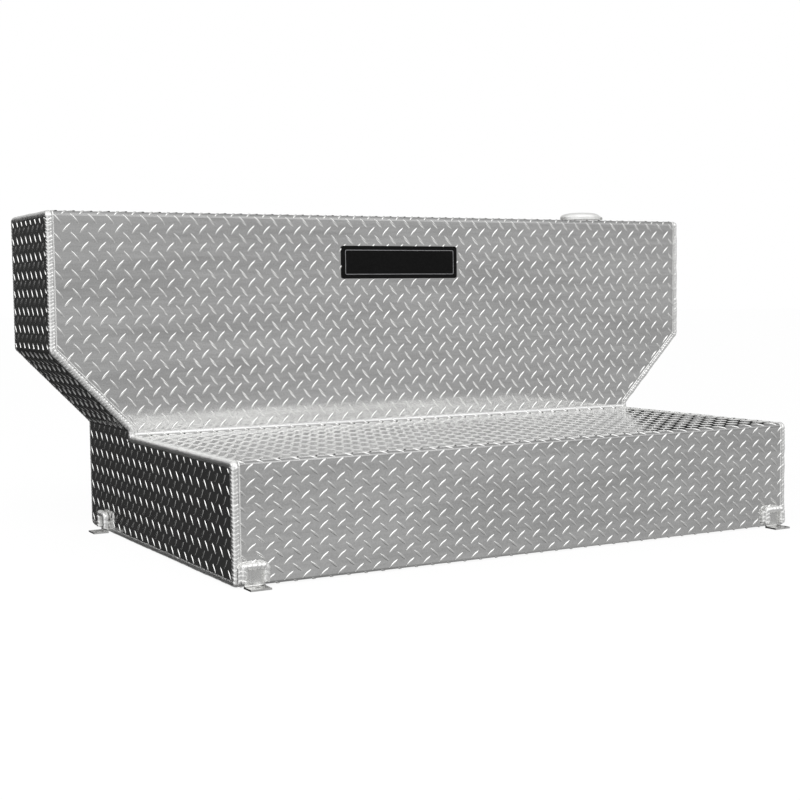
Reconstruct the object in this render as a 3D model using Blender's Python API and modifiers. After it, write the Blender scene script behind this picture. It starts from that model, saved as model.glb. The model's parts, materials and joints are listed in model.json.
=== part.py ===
"""L-shaped tread-plate liquid tank for a truck bed, as an assembly of separate pieces.

Metres, +Z up, +X to the right, -Y to the front, where the low deck is. The origin is in the
middle of the footprint, on the surface that the four feet stand on.
"""
import math

import bmesh
import bpy
from mathutils import Matrix, Vector

# Shell, to its outer faces
LOWER_WIDTH = 1.219
UPPER_WIDTH = 1.524
DEPTH = 0.797
TOP_DEPTH = 0.272
DECK_HEIGHT = 0.210
WING_HEIGHT = 0.379
BODY_HEIGHT = 0.648
SHEET = 0.0032
FLOOR_FLANGE = 0.040
FLOOR_BEND = 0.008
FRONT_BEND = 0.008
DECK_BEND = 0.008
TOP_BEND = 0.009
REAR_BEND = 0.014
END_BEND = 0.006
WING_BEND = 0.009

# Welds, and the gap kept between neighbouring pieces
GAP = 0.0003
SEAM_BEAD = 0.005
FLOOR_BEAD = 0.0035
FOOT_BEAD = 0.0045
BUNG_BEAD = 0.0025

# Surge plates
BAFFLE_COUNT = 3
BAFFLE_SPACING = 0.305
BAFFLE_PLATE = 0.003
BAFFLE_CORNER = 0.025
FLOW_HOLE_RADIUS = 0.045
LOW_FLOW_HOLES = (0.25, 0.70)
TALL_FLOW_HOLES = (0.20, 0.52, 0.84)
LIMBER_RADIUS = 0.011

# Feet: bent angles, one leg welded to the wall and one with a bolt hole
FLOOR_CLEARANCE = 0.0025
FOOT_PLATE = 0.0032
FOOT_WIDTH = 0.038
FOOT_HEIGHT = 0.034
FOOT_REACH = 0.031
FOOT_FILLET = 0.003
FOOT_BOLT_RADIUS = 0.0055
FRONT_FOOT_INSET = 0.0355
REAR_FOOT_INSET = 0.100

# Name plate on the riser
PLATE_WIDTH = 0.282
PLATE_HEIGHT = 0.069
PLATE_THICKNESS = 0.002
PLATE_CORNER = 0.005
PLATE_DROP = 0.097

# Filler: neck, flange, hinged lid and its lock. Heights are above the top sheet
FILLER_END_INSET = 0.188
NECK_RADIUS = 0.028
NECK_WALL = 0.003
NECK_DROP = 0.060
NECK_LIP = 0.003
NECK_LIP_RADIUS = 0.020
GASKET = 0.0025
FLANGE = 0.004
FLANGE_RADIUS = 0.047
SCREW_COUNT = 6
SCREW_CIRCLE = 0.0375
SCREW_HEAD_RADIUS = 0.0042
SCREW_HEAD = 0.002
SCREW_RADIUS = 0.0022
SCREW_LENGTH = 0.018
LID_RADIUS = 0.048
LID_WALL = 0.003
LID_TOP_WALL = 0.0035
LID_CLEARANCE = 0.0008
LID_SHOULDER = 0.014
LID_CROWN = 0.0248
LID_BOSS_RADIUS = 0.022
SEAL = 0.0034
SEAL_WIDTH = 0.006
LOCK_RADIUS = 0.009
LOCK_PROUD = 0.0008
KEYWAY_WIDTH = 0.0016
KEYWAY_LENGTH = 0.009
KEYWAY_DEPTH = 0.005
CAM_PLATE = 0.003
CAM_REACH = 0.0230
CAM_WIDTH = 0.010
CAM_CLEARANCE = 0.0012
CAM_TAIL = 0.007
NOTCH_CLEARANCE = 0.0025
CAM_NUT_RADIUS = 0.006
CAM_NUT = 0.004
HINGE_HEIGHT = 0.0125
KNUCKLE_RADIUS = 0.0045
KNUCKLE_LENGTH = 0.014
HINGE_REACH = 0.0055
EAR_WIDTH = 0.005
TAB_MARGIN = 0.001
PIN_RADIUS = 0.002
PIN_HEAD_RADIUS = 0.0032
PIN_HEAD = 0.0012

# Threaded ports: pump port and vent on the top sheet, drain low on the right end
PUMP_PORT_END_INSET = 0.307
PUMP_PORT_BORE = 0.026
PUMP_PORT_WALL = 0.0045
PUMP_PORT_SHOULDER = 0.006
PUMP_SOCKET = 0.020
VENT_END_INSET = 0.612
VENT_BACK_INSET = 0.055
VENT_BORE = 0.007
VENT_WALL = 0.003
VENT_SHOULDER = 0.004
VENT_CAP_RADIUS = 0.014
VENT_CAP = 0.003
DRAIN_BACK_INSET = 0.200
DRAIN_HEIGHT = 0.036
DRAIN_BORE = 0.009
DRAIN_WALL = 0.004
DRAIN_SHOULDER = 0.005
DRAIN_HEX_RADIUS = 0.011
DRAIN_HEX = 0.007
PORT_RISE = 0.006
PORT_SPIGOT = 0.014
SOCKET_DEPTH = 0.006

# How finely round shapes are divided
TURN_STEPS = 36
SMALL_TURN_STEPS = 20
SCREW_STEPS = 12
DOME_STEPS = 6
BEAD_SIDES = 8
ARC_STEP = math.radians(20)

# Places that follow from the sizes
FLOOR_Z = FLOOR_CLEARANCE
DECK_Z = FLOOR_Z + DECK_HEIGHT
CHAMFER_Z = DECK_Z + DECK_BEND + END_BEND / 2
WING_Z = FLOOR_Z + WING_HEIGHT
TOP_Z = FLOOR_Z + BODY_HEIGHT
FRONT_Y = (FOOT_REACH - DEPTH) / 2
BACK_Y = FRONT_Y + DEPTH
RISER_Y = BACK_Y - TOP_DEPTH
FILLER_Y = (RISER_Y + BACK_Y) / 2
FILLER = Vector((UPPER_WIDTH / 2 - FILLER_END_INSET, FILLER_Y, TOP_Z))
SETBACK = SEAM_BEAD + math.sqrt((SEAM_BEAD + GAP) ** 2 - max(SEAM_BEAD - SHEET, 0) ** 2)
FLOOR_SETBACK = math.sqrt((FLOOR_BEAD + GAP) ** 2 - max(FLOOR_BEAD - SHEET, 0) ** 2)
FLANGE_BASE = GASKET + 2 * GAP
FLANGE_TOP = FLANGE_BASE + FLANGE
LID_BASE = FLANGE_TOP + LID_CLEARANCE
LID_CEILING = LID_CROWN - LID_TOP_WALL
NECK_TOP = LID_CEILING - SEAL - 2 * GAP
CAM_TOP = NECK_TOP - NECK_LIP - CAM_CLEARANCE
HINGE_X = LID_RADIUS + HINGE_REACH
EAR_Y = KNUCKLE_LENGTH / 2 + GAP + EAR_WIDTH / 2
HINGE = FILLER + Vector((HINGE_X, 0, HINGE_HEIGHT))
MARGIN = 0.05

for old in list(bpy.data.objects):
    bpy.data.objects.remove(old, do_unlink=True)
PARTS = bpy.data.collections.new("bed_tank")
CUTTERS = bpy.data.collections.new("bed_tank_cutters")
bpy.context.scene.collection.children.link(PARTS)
bpy.context.scene.collection.children.link(CUTTERS)


def finish(name, colour, roughness, metallic):
    """A Principled material."""
    material = bpy.data.materials.new(name)
    material.use_nodes = True
    shader = material.node_tree.nodes["Principled BSDF"]
    shader.inputs["Base Color"].default_value = (*colour, 1)
    shader.inputs["Roughness"].default_value = roughness
    shader.inputs["Metallic"].default_value = metallic
    return material


TREAD = finish("tread_aluminium", (0.62, 0.62, 0.63), 0.35, 1.0)
BEAD = finish("weld_bead", (0.74, 0.74, 0.74), 0.28, 1.0)
PLATE = finish("plain_aluminium", (0.66, 0.66, 0.67), 0.40, 1.0)
CAST = finish("cast_aluminium", (0.72, 0.72, 0.72), 0.32, 1.0)
ZINC = finish("zinc_steel", (0.55, 0.55, 0.53), 0.35, 1.0)
BRASS = finish("brass", (0.62, 0.45, 0.18), 0.32, 1.0)
RUBBER = finish("black_rubber", (0.02, 0.02, 0.02), 0.75, 0.0)
BLACK = finish("black_enamel", (0.012, 0.012, 0.013), 0.30, 0.0)


def place(name, data, material, location=(0, 0, 0)):
    """A part: an object in the parts collection with its own material."""
    part = bpy.data.objects.new(name, data)
    part.location = location
    if material:
        data.materials.append(material)
    PARTS.objects.link(part)
    return part


def as_cutter(tool):
    """Turns an object into a hidden Boolean operand."""
    for home in list(tool.users_collection):
        home.objects.unlink(tool)
    CUTTERS.objects.link(tool)
    tool.hide_render = True
    tool.display_type = "WIRE"
    return tool


def combine(part, tool, operation):
    """Adds a Boolean modifier."""
    step = part.modifiers.new(tool.name, "BOOLEAN")
    step.operation = operation
    step.object = tool
    return part


def mesh_from(bm, name):
    """A mesh from a bmesh, which is freed."""
    mesh = bpy.data.meshes.new(name)
    bm.to_mesh(mesh)
    bm.free()
    return mesh


def rounded(corners, closed):
    """Points of a line whose corners, given as (point, radius), are turned into arcs."""
    points = []
    count = len(corners)
    for index, (corner, radius) in enumerate(corners):
        if radius < GAP or (not closed and index in (0, count - 1)):
            points.append(corner.copy())
            continue
        back = (corners[index - 1][0] - corner).normalized()
        ahead = (corners[(index + 1) % count][0] - corner).normalized()
        half = back.angle(ahead) / 2
        centre = corner + (back + ahead).normalized() * radius / math.sin(half)
        start = corner + back * radius / math.tan(half) - centre
        end = corner + ahead * radius / math.tan(half) - centre
        turn = math.pi - 2 * half
        steps = max(2, math.ceil(turn / ARC_STEP))
        for step in range(steps + 1):
            share = step / steps
            blend = start * math.sin((1 - share) * turn) + end * math.sin(share * turn)
            points.append(centre + blend / math.sin(turn))
    return points


def prism(name, points, sweep, material=None):
    """A closed solid: a flat outline swept along a vector."""
    bm = bmesh.new()
    face = bm.faces.new([bm.verts.new(point) for point in points])
    swept = bmesh.ops.extrude_face_region(bm, geom=[face])["geom"]
    moved = [item for item in swept if isinstance(item, bmesh.types.BMVert)]
    bmesh.ops.translate(bm, vec=Vector(sweep), verts=moved)
    bmesh.ops.recalc_face_normals(bm, faces=bm.faces)
    return place(name, mesh_from(bm, name), material)


def bent_sheet(name, points, sweep, outward):
    """A bent sheet: an open line swept along a vector, thickened away from its outer face."""
    sweep = Vector(sweep)
    if (points[1] - points[0]).cross(sweep).dot(Vector(outward)) < 0:
        points = [point + sweep for point in points]
        sweep = -sweep
    bm = bmesh.new()
    near = [bm.verts.new(point) for point in points]
    far = [bm.verts.new(point + sweep) for point in points]
    for index in range(len(points) - 1):
        bm.faces.new((near[index], near[index + 1], far[index + 1], far[index]))
    sheet = place(name, mesh_from(bm, name), TREAD)
    thick = sheet.modifiers.new("thickness", "SOLIDIFY")
    thick.thickness = SHEET
    thick.offset = -1
    thick.use_even_offset = True
    return sheet


def cylinder(name, radius, length, centre, axis=(0, 0, 1), sides=TURN_STEPS, material=None):
    """A plain cylinder about an axis."""
    bm = bmesh.new()
    turn = Vector((0, 0, 1)).rotation_difference(Vector(axis)).to_matrix().to_4x4()
    bmesh.ops.create_cone(bm, cap_ends=True, segments=sides, radius1=radius, radius2=radius,
                          depth=length, matrix=Matrix.Translation(Vector(centre)) @ turn)
    return place(name, mesh_from(bm, name), material)


def drill(name, radius, centre, axis=(0, 0, 1), sides=TURN_STEPS, length=MARGIN):
    """A hole's cutter, whose flats lie on the stated radius."""
    return as_cutter(cylinder(name, radius / math.cos(math.pi / sides), length, centre, axis, sides))


def block(name, low, high, material=None):
    """A plain box between two corners."""
    low, high = Vector(low), Vector(high)
    bm = bmesh.new()
    size = Matrix.Diagonal((*(high - low), 1))
    bmesh.ops.create_cube(bm, size=1, matrix=Matrix.Translation((low + high) / 2) @ size)
    return place(name, mesh_from(bm, name), material)


def turned(name, profile, location, material, steps=TURN_STEPS, rotation=(0, 0, 0)):
    """A turned piece: (radius, height) points from the top, outer side first, about its Z."""
    bm = bmesh.new()
    line = [bm.verts.new((radius, 0, height)) for radius, height in profile]
    for pair in zip(line, line[1:]):
        bm.edges.new(pair)
    if profile[0][0] > GAP:
        bm.edges.new((line[-1], line[0]))
    piece = place(name, mesh_from(bm, name), material, location)
    piece.rotation_euler = rotation
    screw = piece.modifiers.new("turn", "SCREW")
    screw.steps = screw.render_steps = steps
    screw.use_merge_vertices = True
    screw.merge_threshold = 0.00001
    screw.use_smooth_shade = False
    return piece


def ring(name, inner, outer, low, high, location, material):
    """A flat turned ring."""
    return turned(name, [(inner, high), (outer, high), (outer, low), (inner, low)], location, material)


def bead(name, path, radius, closed=False):
    """A round weld bead along a line."""
    line = bpy.data.curves.new(name, "CURVE")
    line.dimensions = "3D"
    line.bevel_depth = radius
    line.bevel_resolution = 2
    line.use_fill_caps = not closed
    spline = line.splines.new("POLY")
    spline.points.add(len(path) - 1)
    spline.use_cyclic_u = closed
    for point, where in zip(spline.points, path):
        point.co = (*where, 1)
    return place(name, line, BEAD)


def side_outline(inset):
    """The tank's outline seen from its end, drawn in by an inset, as corners with radii."""
    front, riser, back = FRONT_Y + inset, RISER_Y + inset, BACK_Y - inset
    floor, deck, top = FLOOR_Z + inset, DECK_Z - inset, TOP_Z - inset
    return [
        (Vector((0, front, floor)), FLOOR_BEND - inset),
        (Vector((0, front, deck)), FRONT_BEND - inset),
        (Vector((0, riser, deck)), DECK_BEND + inset),
        (Vector((0, riser, top)), TOP_BEND - inset),
        (Vector((0, back, top)), 2 * SEAM_BEAD - inset),
        (Vector((0, back, floor)), REAR_BEND - inset),
    ]


def end_line(side, inset, low, high):
    """One end seen from the front (side -1 or 1), drawn in by an inset, from low to high."""
    slope = Vector(((UPPER_WIDTH - LOWER_WIDTH) / 2, 0, WING_Z - CHAMFER_Z)).normalized()
    upright = Vector((-1, 0, 0))
    slanted = Vector((-slope.z, 0, slope.x))
    shift = (upright + slanted) * inset / (1 + upright.dot(slanted))
    corners = [
        (Vector((LOWER_WIDTH / 2 - inset, 0, low)), 0),
        (Vector((LOWER_WIDTH / 2, 0, CHAMFER_Z)) + shift, END_BEND + inset),
        (Vector((UPPER_WIDTH / 2, 0, WING_Z)) + shift, WING_BEND - inset),
        (Vector((UPPER_WIDTH / 2 - inset, 0, high)), 0),
    ]
    return [(Vector((side * point.x, point.y, point.z)), radius) for point, radius in corners]


def wrap_trim():
    """The room between the two ends, which trims the wrapped sheets to their seams."""
    right = rounded(end_line(1, SETBACK, FLOOR_Z - MARGIN, TOP_Z + MARGIN), closed=False)
    left = rounded(end_line(-1, SETBACK, FLOOR_Z - MARGIN, TOP_Z + MARGIN), closed=False)
    outline = [point + Vector((0, FRONT_Y - MARGIN, 0)) for point in right + left[::-1]]
    return as_cutter(prism("wrap_trim", outline, (0, DEPTH + 2 * MARGIN, 0)))


def end_trim():
    """The outline that trims the end sheets to their seams."""
    outline = rounded(side_outline(SETBACK), closed=True)
    outline = [point - Vector((UPPER_WIDTH / 2 + MARGIN, 0, 0)) for point in outline]
    return as_cutter(prism("end_trim", outline, (UPPER_WIDTH + 2 * MARGIN, 0, 0)))


def front_wrap(trim):
    """Floor flange, front, deck, riser and top, bent from one sheet."""
    corners = side_outline(0)
    start = (Vector((0, FRONT_Y + FLOOR_FLANGE - FLOOR_SETBACK, FLOOR_Z)), 0)
    end = (Vector((0, BACK_Y - SETBACK, TOP_Z)), 0)
    points = rounded([start, *corners[:4], end], closed=False)
    points = [point - Vector((UPPER_WIDTH / 2, 0, 0)) for point in points]
    sheet = bent_sheet("front_wrap_sheet", points, (UPPER_WIDTH, 0, 0), (0, 0, -1))
    return combine(sheet, trim, "INTERSECT")


def rear_wrap(trim):
    """Back and floor, bent from one sheet."""
    corners = side_outline(0)
    start = (Vector((0, BACK_Y, TOP_Z - SETBACK)), 0)
    end = (Vector((0, FRONT_Y + FLOOR_FLANGE + FLOOR_SETBACK, FLOOR_Z)), 0)
    points = rounded([start, corners[5], end], closed=False)
    points = [point - Vector((UPPER_WIDTH / 2, 0, 0)) for point in points]
    sheet = bent_sheet("rear_wrap_sheet", points, (UPPER_WIDTH, 0, 0), (0, 1, 0))
    return combine(sheet, trim, "INTERSECT")


def end_sheet(name, side, trim):
    """Lower side, chamfer and wing end, bent from one sheet."""
    points = rounded(end_line(side, 0, FLOOR_Z, TOP_Z), closed=False)
    points = [point + Vector((0, FRONT_Y, 0)) for point in points]
    sheet = bent_sheet(name, points, (0, DEPTH, 0), (side, 0, 0))
    return combine(sheet, trim, "INTERSECT")


def seam_weld(name, side):
    """The bead that runs right round one end, in the open corner between end and wraps."""
    corners = side_outline(SEAM_BEAD)
    line = end_line(side, SEAM_BEAD, FLOOR_Z + SEAM_BEAD, TOP_Z - SEAM_BEAD)
    low_x, high_x = line[0][0].x, line[3][0].x
    bend, wing = line[1], line[2]
    front_bottom, front_top, deck_riser, riser_top, back_top, back_bottom = corners

    def at(x, corner):
        return (Vector((x, corner[0].y, corner[0].z)), corner[1])

    def along(corner, y):
        return (Vector((corner[0].x, y, corner[0].z)), corner[1])

    riser, back = deck_riser[0].y, back_top[0].y
    path = [at(low_x, front_bottom), at(low_x, front_top), at(low_x, deck_riser),
            along(bend, riser), along(wing, riser), at(high_x, riser_top), at(high_x, back_top),
            along(wing, back), along(bend, back), at(low_x, back_bottom)]
    return bead(name, rounded(path, closed=True), SEAM_BEAD, closed=True)


def straight_seam(name, width, y, z, radius):
    """A straight bead across the tank, between the two end beads."""
    reach = width / 2 - 2 * SEAM_BEAD - GAP
    return bead(name, [Vector((-reach, y, z)), Vector((reach, y, z))], radius)


def baffles():
    """Surge plates across the tank, with flow holes and a gap over the floor seam."""
    inset = SHEET + GAP
    corners = side_outline(inset)
    corners[4] = (corners[4][0], BAFFLE_CORNER)
    outline = rounded(corners, closed=True)
    span = BAFFLE_COUNT * BAFFLE_SPACING + MARGIN
    holes = [(FRONT_Y + FLOOR_FLANGE, FLOOR_Z, LIMBER_RADIUS)]
    lower_z = FLOOR_Z + DECK_HEIGHT / 2
    for share in LOW_FLOW_HOLES:
        holes.append((FRONT_Y + share * (RISER_Y - FRONT_Y), lower_z, FLOW_HOLE_RADIUS))
    for share in TALL_FLOW_HOLES:
        z = lower_z + share * (TOP_Z - lower_z - FLOW_HOLE_RADIUS)
        holes.append((FILLER_Y, z, FLOW_HOLE_RADIUS))
    tools = []
    for index, (y, z, radius) in enumerate(holes):
        tools.append(drill(f"flow_hole_{index}", radius, (0, y, z), (1, 0, 0), SMALL_TURN_STEPS, span))
    for index, name in enumerate(("left", "middle", "right")[:BAFFLE_COUNT]):
        x = (index - (BAFFLE_COUNT - 1) / 2) * BAFFLE_SPACING - BAFFLE_PLATE / 2
        placed = [point + Vector((x, 0, 0)) for point in outline]
        plate = prism(f"{name}_baffle", placed, (BAFFLE_PLATE, 0, 0), PLATE)
        for tool in tools:
            combine(plate, tool, "DIFFERENCE")


def feet():
    """Four bent angles on the walls, with the beads that weld them on."""
    front_x = LOWER_WIDTH / 2 - FRONT_FOOT_INSET
    rear_y = BACK_Y - REAR_FOOT_INSET
    end_x = LOWER_WIDTH / 2
    places = {
        "front_left_foot": ((-front_x, FRONT_Y), (0, -1)),
        "front_right_foot": ((front_x, FRONT_Y), (0, -1)),
        "rear_left_foot": ((-end_x, rear_y), (-1, 0)),
        "rear_right_foot": ((end_x, rear_y), (1, 0)),
    }
    for name, (wall, facing) in places.items():
        out = Vector((*facing, 0))
        along = Vector((-out.y, out.x, 0))
        base = Vector((*wall, 0))

        def local(reach, shift, z):
            return base + out * reach + along * shift + Vector((0, 0, z))

        half = FOOT_WIDTH / 2
        outline = rounded([
            (local(GAP, -half, 0), 0),
            (local(FOOT_REACH, -half, 0), 0),
            (local(FOOT_REACH, -half, FOOT_PLATE), 0),
            (local(GAP + FOOT_PLATE, -half, FOOT_PLATE), FOOT_FILLET),
            (local(GAP + FOOT_PLATE, -half, FOOT_HEIGHT), 0),
            (local(GAP, -half, FOOT_HEIGHT), 0),
        ], closed=True)
        foot = prism(name, outline, along * FOOT_WIDTH, PLATE)
        middle = (GAP + FOOT_PLATE + FOOT_FILLET + FOOT_REACH) / 2
        hole = drill(f"{name}_bolt_hole", FOOT_BOLT_RADIUS, local(middle, 0, 0), sides=SMALL_TURN_STEPS)
        combine(foot, hole, "DIFFERENCE")
        reach = GAP + FOOT_BEAD
        side = half + GAP + FOOT_BEAD
        low, high = FLOOR_Z + FOOT_BEAD, FOOT_HEIGHT + GAP + FOOT_BEAD
        path = rounded([
            (local(reach, -side, low), 0),
            (local(reach, -side, high), FOOT_BEAD),
            (local(reach, side, high), FOOT_BEAD),
            (local(reach, side, low), 0),
        ], closed=False)
        bead(f"{name}_weld", path, FOOT_BEAD)


def name_plate():
    """A bare enamelled plate stuck to the riser."""
    half, top = PLATE_WIDTH / 2, TOP_Z - PLATE_DROP + PLATE_HEIGHT / 2
    bottom, y = top - PLATE_HEIGHT, RISER_Y - GAP
    corners = [(-half, bottom), (half, bottom), (half, top), (-half, top)]
    outline = rounded([(Vector((x, y, z)), PLATE_CORNER) for x, z in corners], closed=True)
    prism("name_plate", outline, (0, -PLATE_THICKNESS, 0), BLACK)


def sheet_hole(sheet, name, radius, centre, axis=(0, 0, 1)):
    """A round hole right through a sheet."""
    return combine(sheet, drill(name, radius, centre, axis), "DIFFERENCE")


def screw_places():
    """Middles of the flange screws, on the top sheet."""
    for index in range(SCREW_COUNT):
        angle = 2 * math.pi * (index + 0.5) / SCREW_COUNT
        yield FILLER + SCREW_CIRCLE * Vector((math.cos(angle), math.sin(angle), 0))


def flange_outline():
    """A round plate with a square tab under the hinge."""
    half = EAR_Y + EAR_WIDTH / 2 + TAB_MARGIN
    end = HINGE_X + KNUCKLE_RADIUS + TAB_MARGIN
    base = FILLER + Vector((0, 0, FLANGE_BASE))
    start = math.asin(half / FLANGE_RADIUS)
    for step in range(TURN_STEPS + 1):
        angle = start + (2 * math.pi - 2 * start) * step / TURN_STEPS
        yield base + FLANGE_RADIUS * Vector((math.cos(angle), math.sin(angle), 0))
    yield base + Vector((end, -half, 0))
    yield base + Vector((end, half, 0))


def flange_seat(top_sheet):
    """Neck, gasket, flange with hinge ears, and the screws that hold them on the top sheet."""
    lip = NECK_TOP - NECK_LIP
    neck = turned("filler_neck", [
        (NECK_LIP_RADIUS, NECK_TOP), (NECK_RADIUS, NECK_TOP), (NECK_RADIUS, -NECK_DROP),
        (NECK_RADIUS - NECK_WALL, -NECK_DROP), (NECK_RADIUS - NECK_WALL, lip),
        (NECK_LIP_RADIUS, lip)], FILLER, PLATE)
    notch_reach = (CAM_REACH + NECK_RADIUS - NECK_WALL) / 2
    notch_half = CAM_WIDTH / 2 + NOTCH_CLEARANCE
    notch = block("lip_notch", FILLER + Vector((-notch_reach, -notch_half, lip - CAM_CLEARANCE)),
                  FILLER + Vector((0, notch_half, NECK_TOP + CAM_CLEARANCE)))
    combine(neck, as_cutter(notch), "DIFFERENCE")

    seat = NECK_RADIUS + GAP
    gasket = cylinder("flange_gasket", FLANGE_RADIUS, GASKET, FILLER + Vector((0, 0, GAP + GASKET / 2)),
                      material=RUBBER)
    flange = prism("filler_flange", list(flange_outline()), (0, 0, FLANGE), CAST)
    bore = drill("flange_bore", seat, FILLER)
    combine(gasket, bore, "DIFFERENCE")
    combine(flange, bore, "DIFFERENCE")
    for side in (-1, 1):
        outline = [HINGE + Vector((-KNUCKLE_RADIUS, 0, FLANGE_BASE + FLANGE / 2 - HINGE_HEIGHT)),
                   HINGE + Vector((KNUCKLE_RADIUS, 0, FLANGE_BASE + FLANGE / 2 - HINGE_HEIGHT))]
        outline += half_round(HINGE, 0, math.pi)
        start = Vector((0, side * EAR_Y - EAR_WIDTH / 2, 0))
        ear = prism(f"hinge_ear_{side}", [point + start for point in outline], (0, EAR_WIDTH, 0))
        combine(flange, as_cutter(ear), "UNION")

    sheet_hole(top_sheet, "neck_hole", NECK_RADIUS + GAP, FILLER)
    base = FLANGE_TOP + GAP
    for number, centre in enumerate(screw_places(), start=1):
        hole = drill(f"screw_hole_{number}", SCREW_RADIUS + GAP, centre, sides=SCREW_STEPS)
        for piece in (top_sheet, gasket, flange):
            combine(piece, hole, "DIFFERENCE")
        turned(f"flange_screw_{number}", [
            (0, base + SCREW_HEAD), (SCREW_HEAD_RADIUS, base + SCREW_HEAD / 2),
            (SCREW_HEAD_RADIUS, base), (SCREW_RADIUS, base), (SCREW_RADIUS, base - SCREW_LENGTH),
            (0, base - SCREW_LENGTH)], centre, ZINC, SCREW_STEPS)
    return flange


def half_round(centre, start, turn):
    """Points round the hinge axis, in the plane across it."""
    steps = math.ceil(abs(turn) / ARC_STEP)
    for step in range(steps + 1):
        angle = start + turn * step / steps
        yield centre + KNUCKLE_RADIUS * Vector((math.cos(angle), 0, math.sin(angle)))


def lid_dome():
    """The domed lid with its hinge knuckle."""
    bore = LOCK_RADIUS + GAP
    ceiling_radius = NECK_RADIUS + GAP
    inner = LID_RADIUS - LID_WALL
    profile = [(bore, LID_CROWN)]
    for step in range(DOME_STEPS + 1):
        angle = math.pi / 2 * step / DOME_STEPS
        profile.append((LID_BOSS_RADIUS + (LID_RADIUS - LID_BOSS_RADIUS) * math.sin(angle),
                        LID_SHOULDER + (LID_CROWN - LID_SHOULDER) * math.cos(angle)))
    profile += [(LID_RADIUS, LID_BASE), (inner, LID_BASE)]
    for step in range(DOME_STEPS, -1, -1):
        angle = math.pi / 2 * step / DOME_STEPS
        profile.append((ceiling_radius + (inner - ceiling_radius) * math.sin(angle),
                        LID_SHOULDER + (LID_CEILING - LID_SHOULDER) * math.cos(angle)))
    profile.append((bore, LID_CEILING))
    lid = turned("filler_lid", profile, FILLER, CAST)
    root = LID_WALL / 2 + HINGE_REACH
    outline = list(half_round(HINGE, -math.pi / 2, math.pi))
    outline += [HINGE + Vector((-root, 0, KNUCKLE_RADIUS)), HINGE + Vector((-root, 0, -KNUCKLE_RADIUS))]
    outline = [point - Vector((0, KNUCKLE_LENGTH / 2, 0)) for point in outline]
    combine(lid, as_cutter(prism("knuckle", outline, (0, KNUCKLE_LENGTH, 0))), "UNION")
    return lid


def hinge_pin(flange, lid):
    """The pin through ears and knuckle, with a head at each end."""
    bore = drill("pin_bore", PIN_RADIUS + GAP, HINGE, (0, 1, 0), SMALL_TURN_STEPS)
    combine(flange, bore, "DIFFERENCE")
    combine(lid, bore, "DIFFERENCE")
    grip = EAR_Y + EAR_WIDTH / 2 + GAP
    end = grip + PIN_HEAD
    turned("hinge_pin", [
        (0, end), (PIN_HEAD_RADIUS, end), (PIN_HEAD_RADIUS, grip), (PIN_RADIUS, grip),
        (PIN_RADIUS, -grip), (PIN_HEAD_RADIUS, -grip), (PIN_HEAD_RADIUS, -end), (0, -end)],
        HINGE, ZINC, SMALL_TURN_STEPS, rotation=(math.pi / 2, 0, 0))


def lid_lock():
    """The key lock in the lid's middle, with the cam and nut under it."""
    cylinder_low = CAM_TOP + GAP
    cylinder_high = LID_CROWN + LOCK_PROUD
    barrel = turned("lock_cylinder", [
        (0, cylinder_high), (LOCK_RADIUS, cylinder_high), (LOCK_RADIUS, cylinder_low),
        (0, cylinder_low)], FILLER, ZINC, SMALL_TURN_STEPS)
    half = Vector((KEYWAY_LENGTH / 2, KEYWAY_WIDTH / 2, 0))
    keyway = block("keyway", FILLER - half + Vector((0, 0, cylinder_high - KEYWAY_DEPTH)),
                   FILLER + half + Vector((0, 0, cylinder_high + KEYWAY_DEPTH)))
    combine(barrel, as_cutter(keyway), "DIFFERENCE")
    wide = CAM_WIDTH / 2
    corners = [(-CAM_REACH, -wide), (CAM_TAIL, -wide), (CAM_TAIL, wide), (-CAM_REACH, wide)]
    base = FILLER + Vector((0, 0, CAM_TOP - CAM_PLATE))
    outline = rounded([(base + Vector((x, y, 0)), CAM_WIDTH / 4) for x, y in corners], closed=True)
    cam = prism("lock_cam", outline, (0, 0, CAM_PLATE), ZINC)
    nut_z = CAM_TOP - CAM_PLATE - GAP - CAM_NUT / 2
    nut = cylinder("cam_nut", CAM_NUT_RADIUS, CAM_NUT, FILLER + Vector((0, 0, nut_z)), sides=6,
                   material=ZINC)
    return [barrel, cam, nut]


def bung(name, bore, wall, shoulder, location, rotation=(0, 0, 0)):
    """A threaded boss set through a sheet, shoulder outside and spigot inside."""
    spigot = bore + wall
    return turned(name, [
        (bore, GAP + PORT_RISE), (spigot + shoulder, GAP + PORT_RISE), (spigot + shoulder, GAP),
        (spigot, GAP), (spigot, -PORT_SPIGOT), (bore, -PORT_SPIGOT)],
        location, PLATE, rotation=rotation)


def bung_weld(name, outer, location, rotation=(0, 0, 0)):
    """The ring bead round a boss."""
    middle = outer + GAP + BUNG_BEAD
    profile = []
    for step in range(BEAD_SIDES):
        angle = -2 * math.pi * step / BEAD_SIDES
        profile.append((middle + BUNG_BEAD * math.cos(angle),
                        GAP + BUNG_BEAD + BUNG_BEAD * math.sin(angle)))
    return turned(name, profile, location, BEAD, rotation=rotation)


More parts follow.
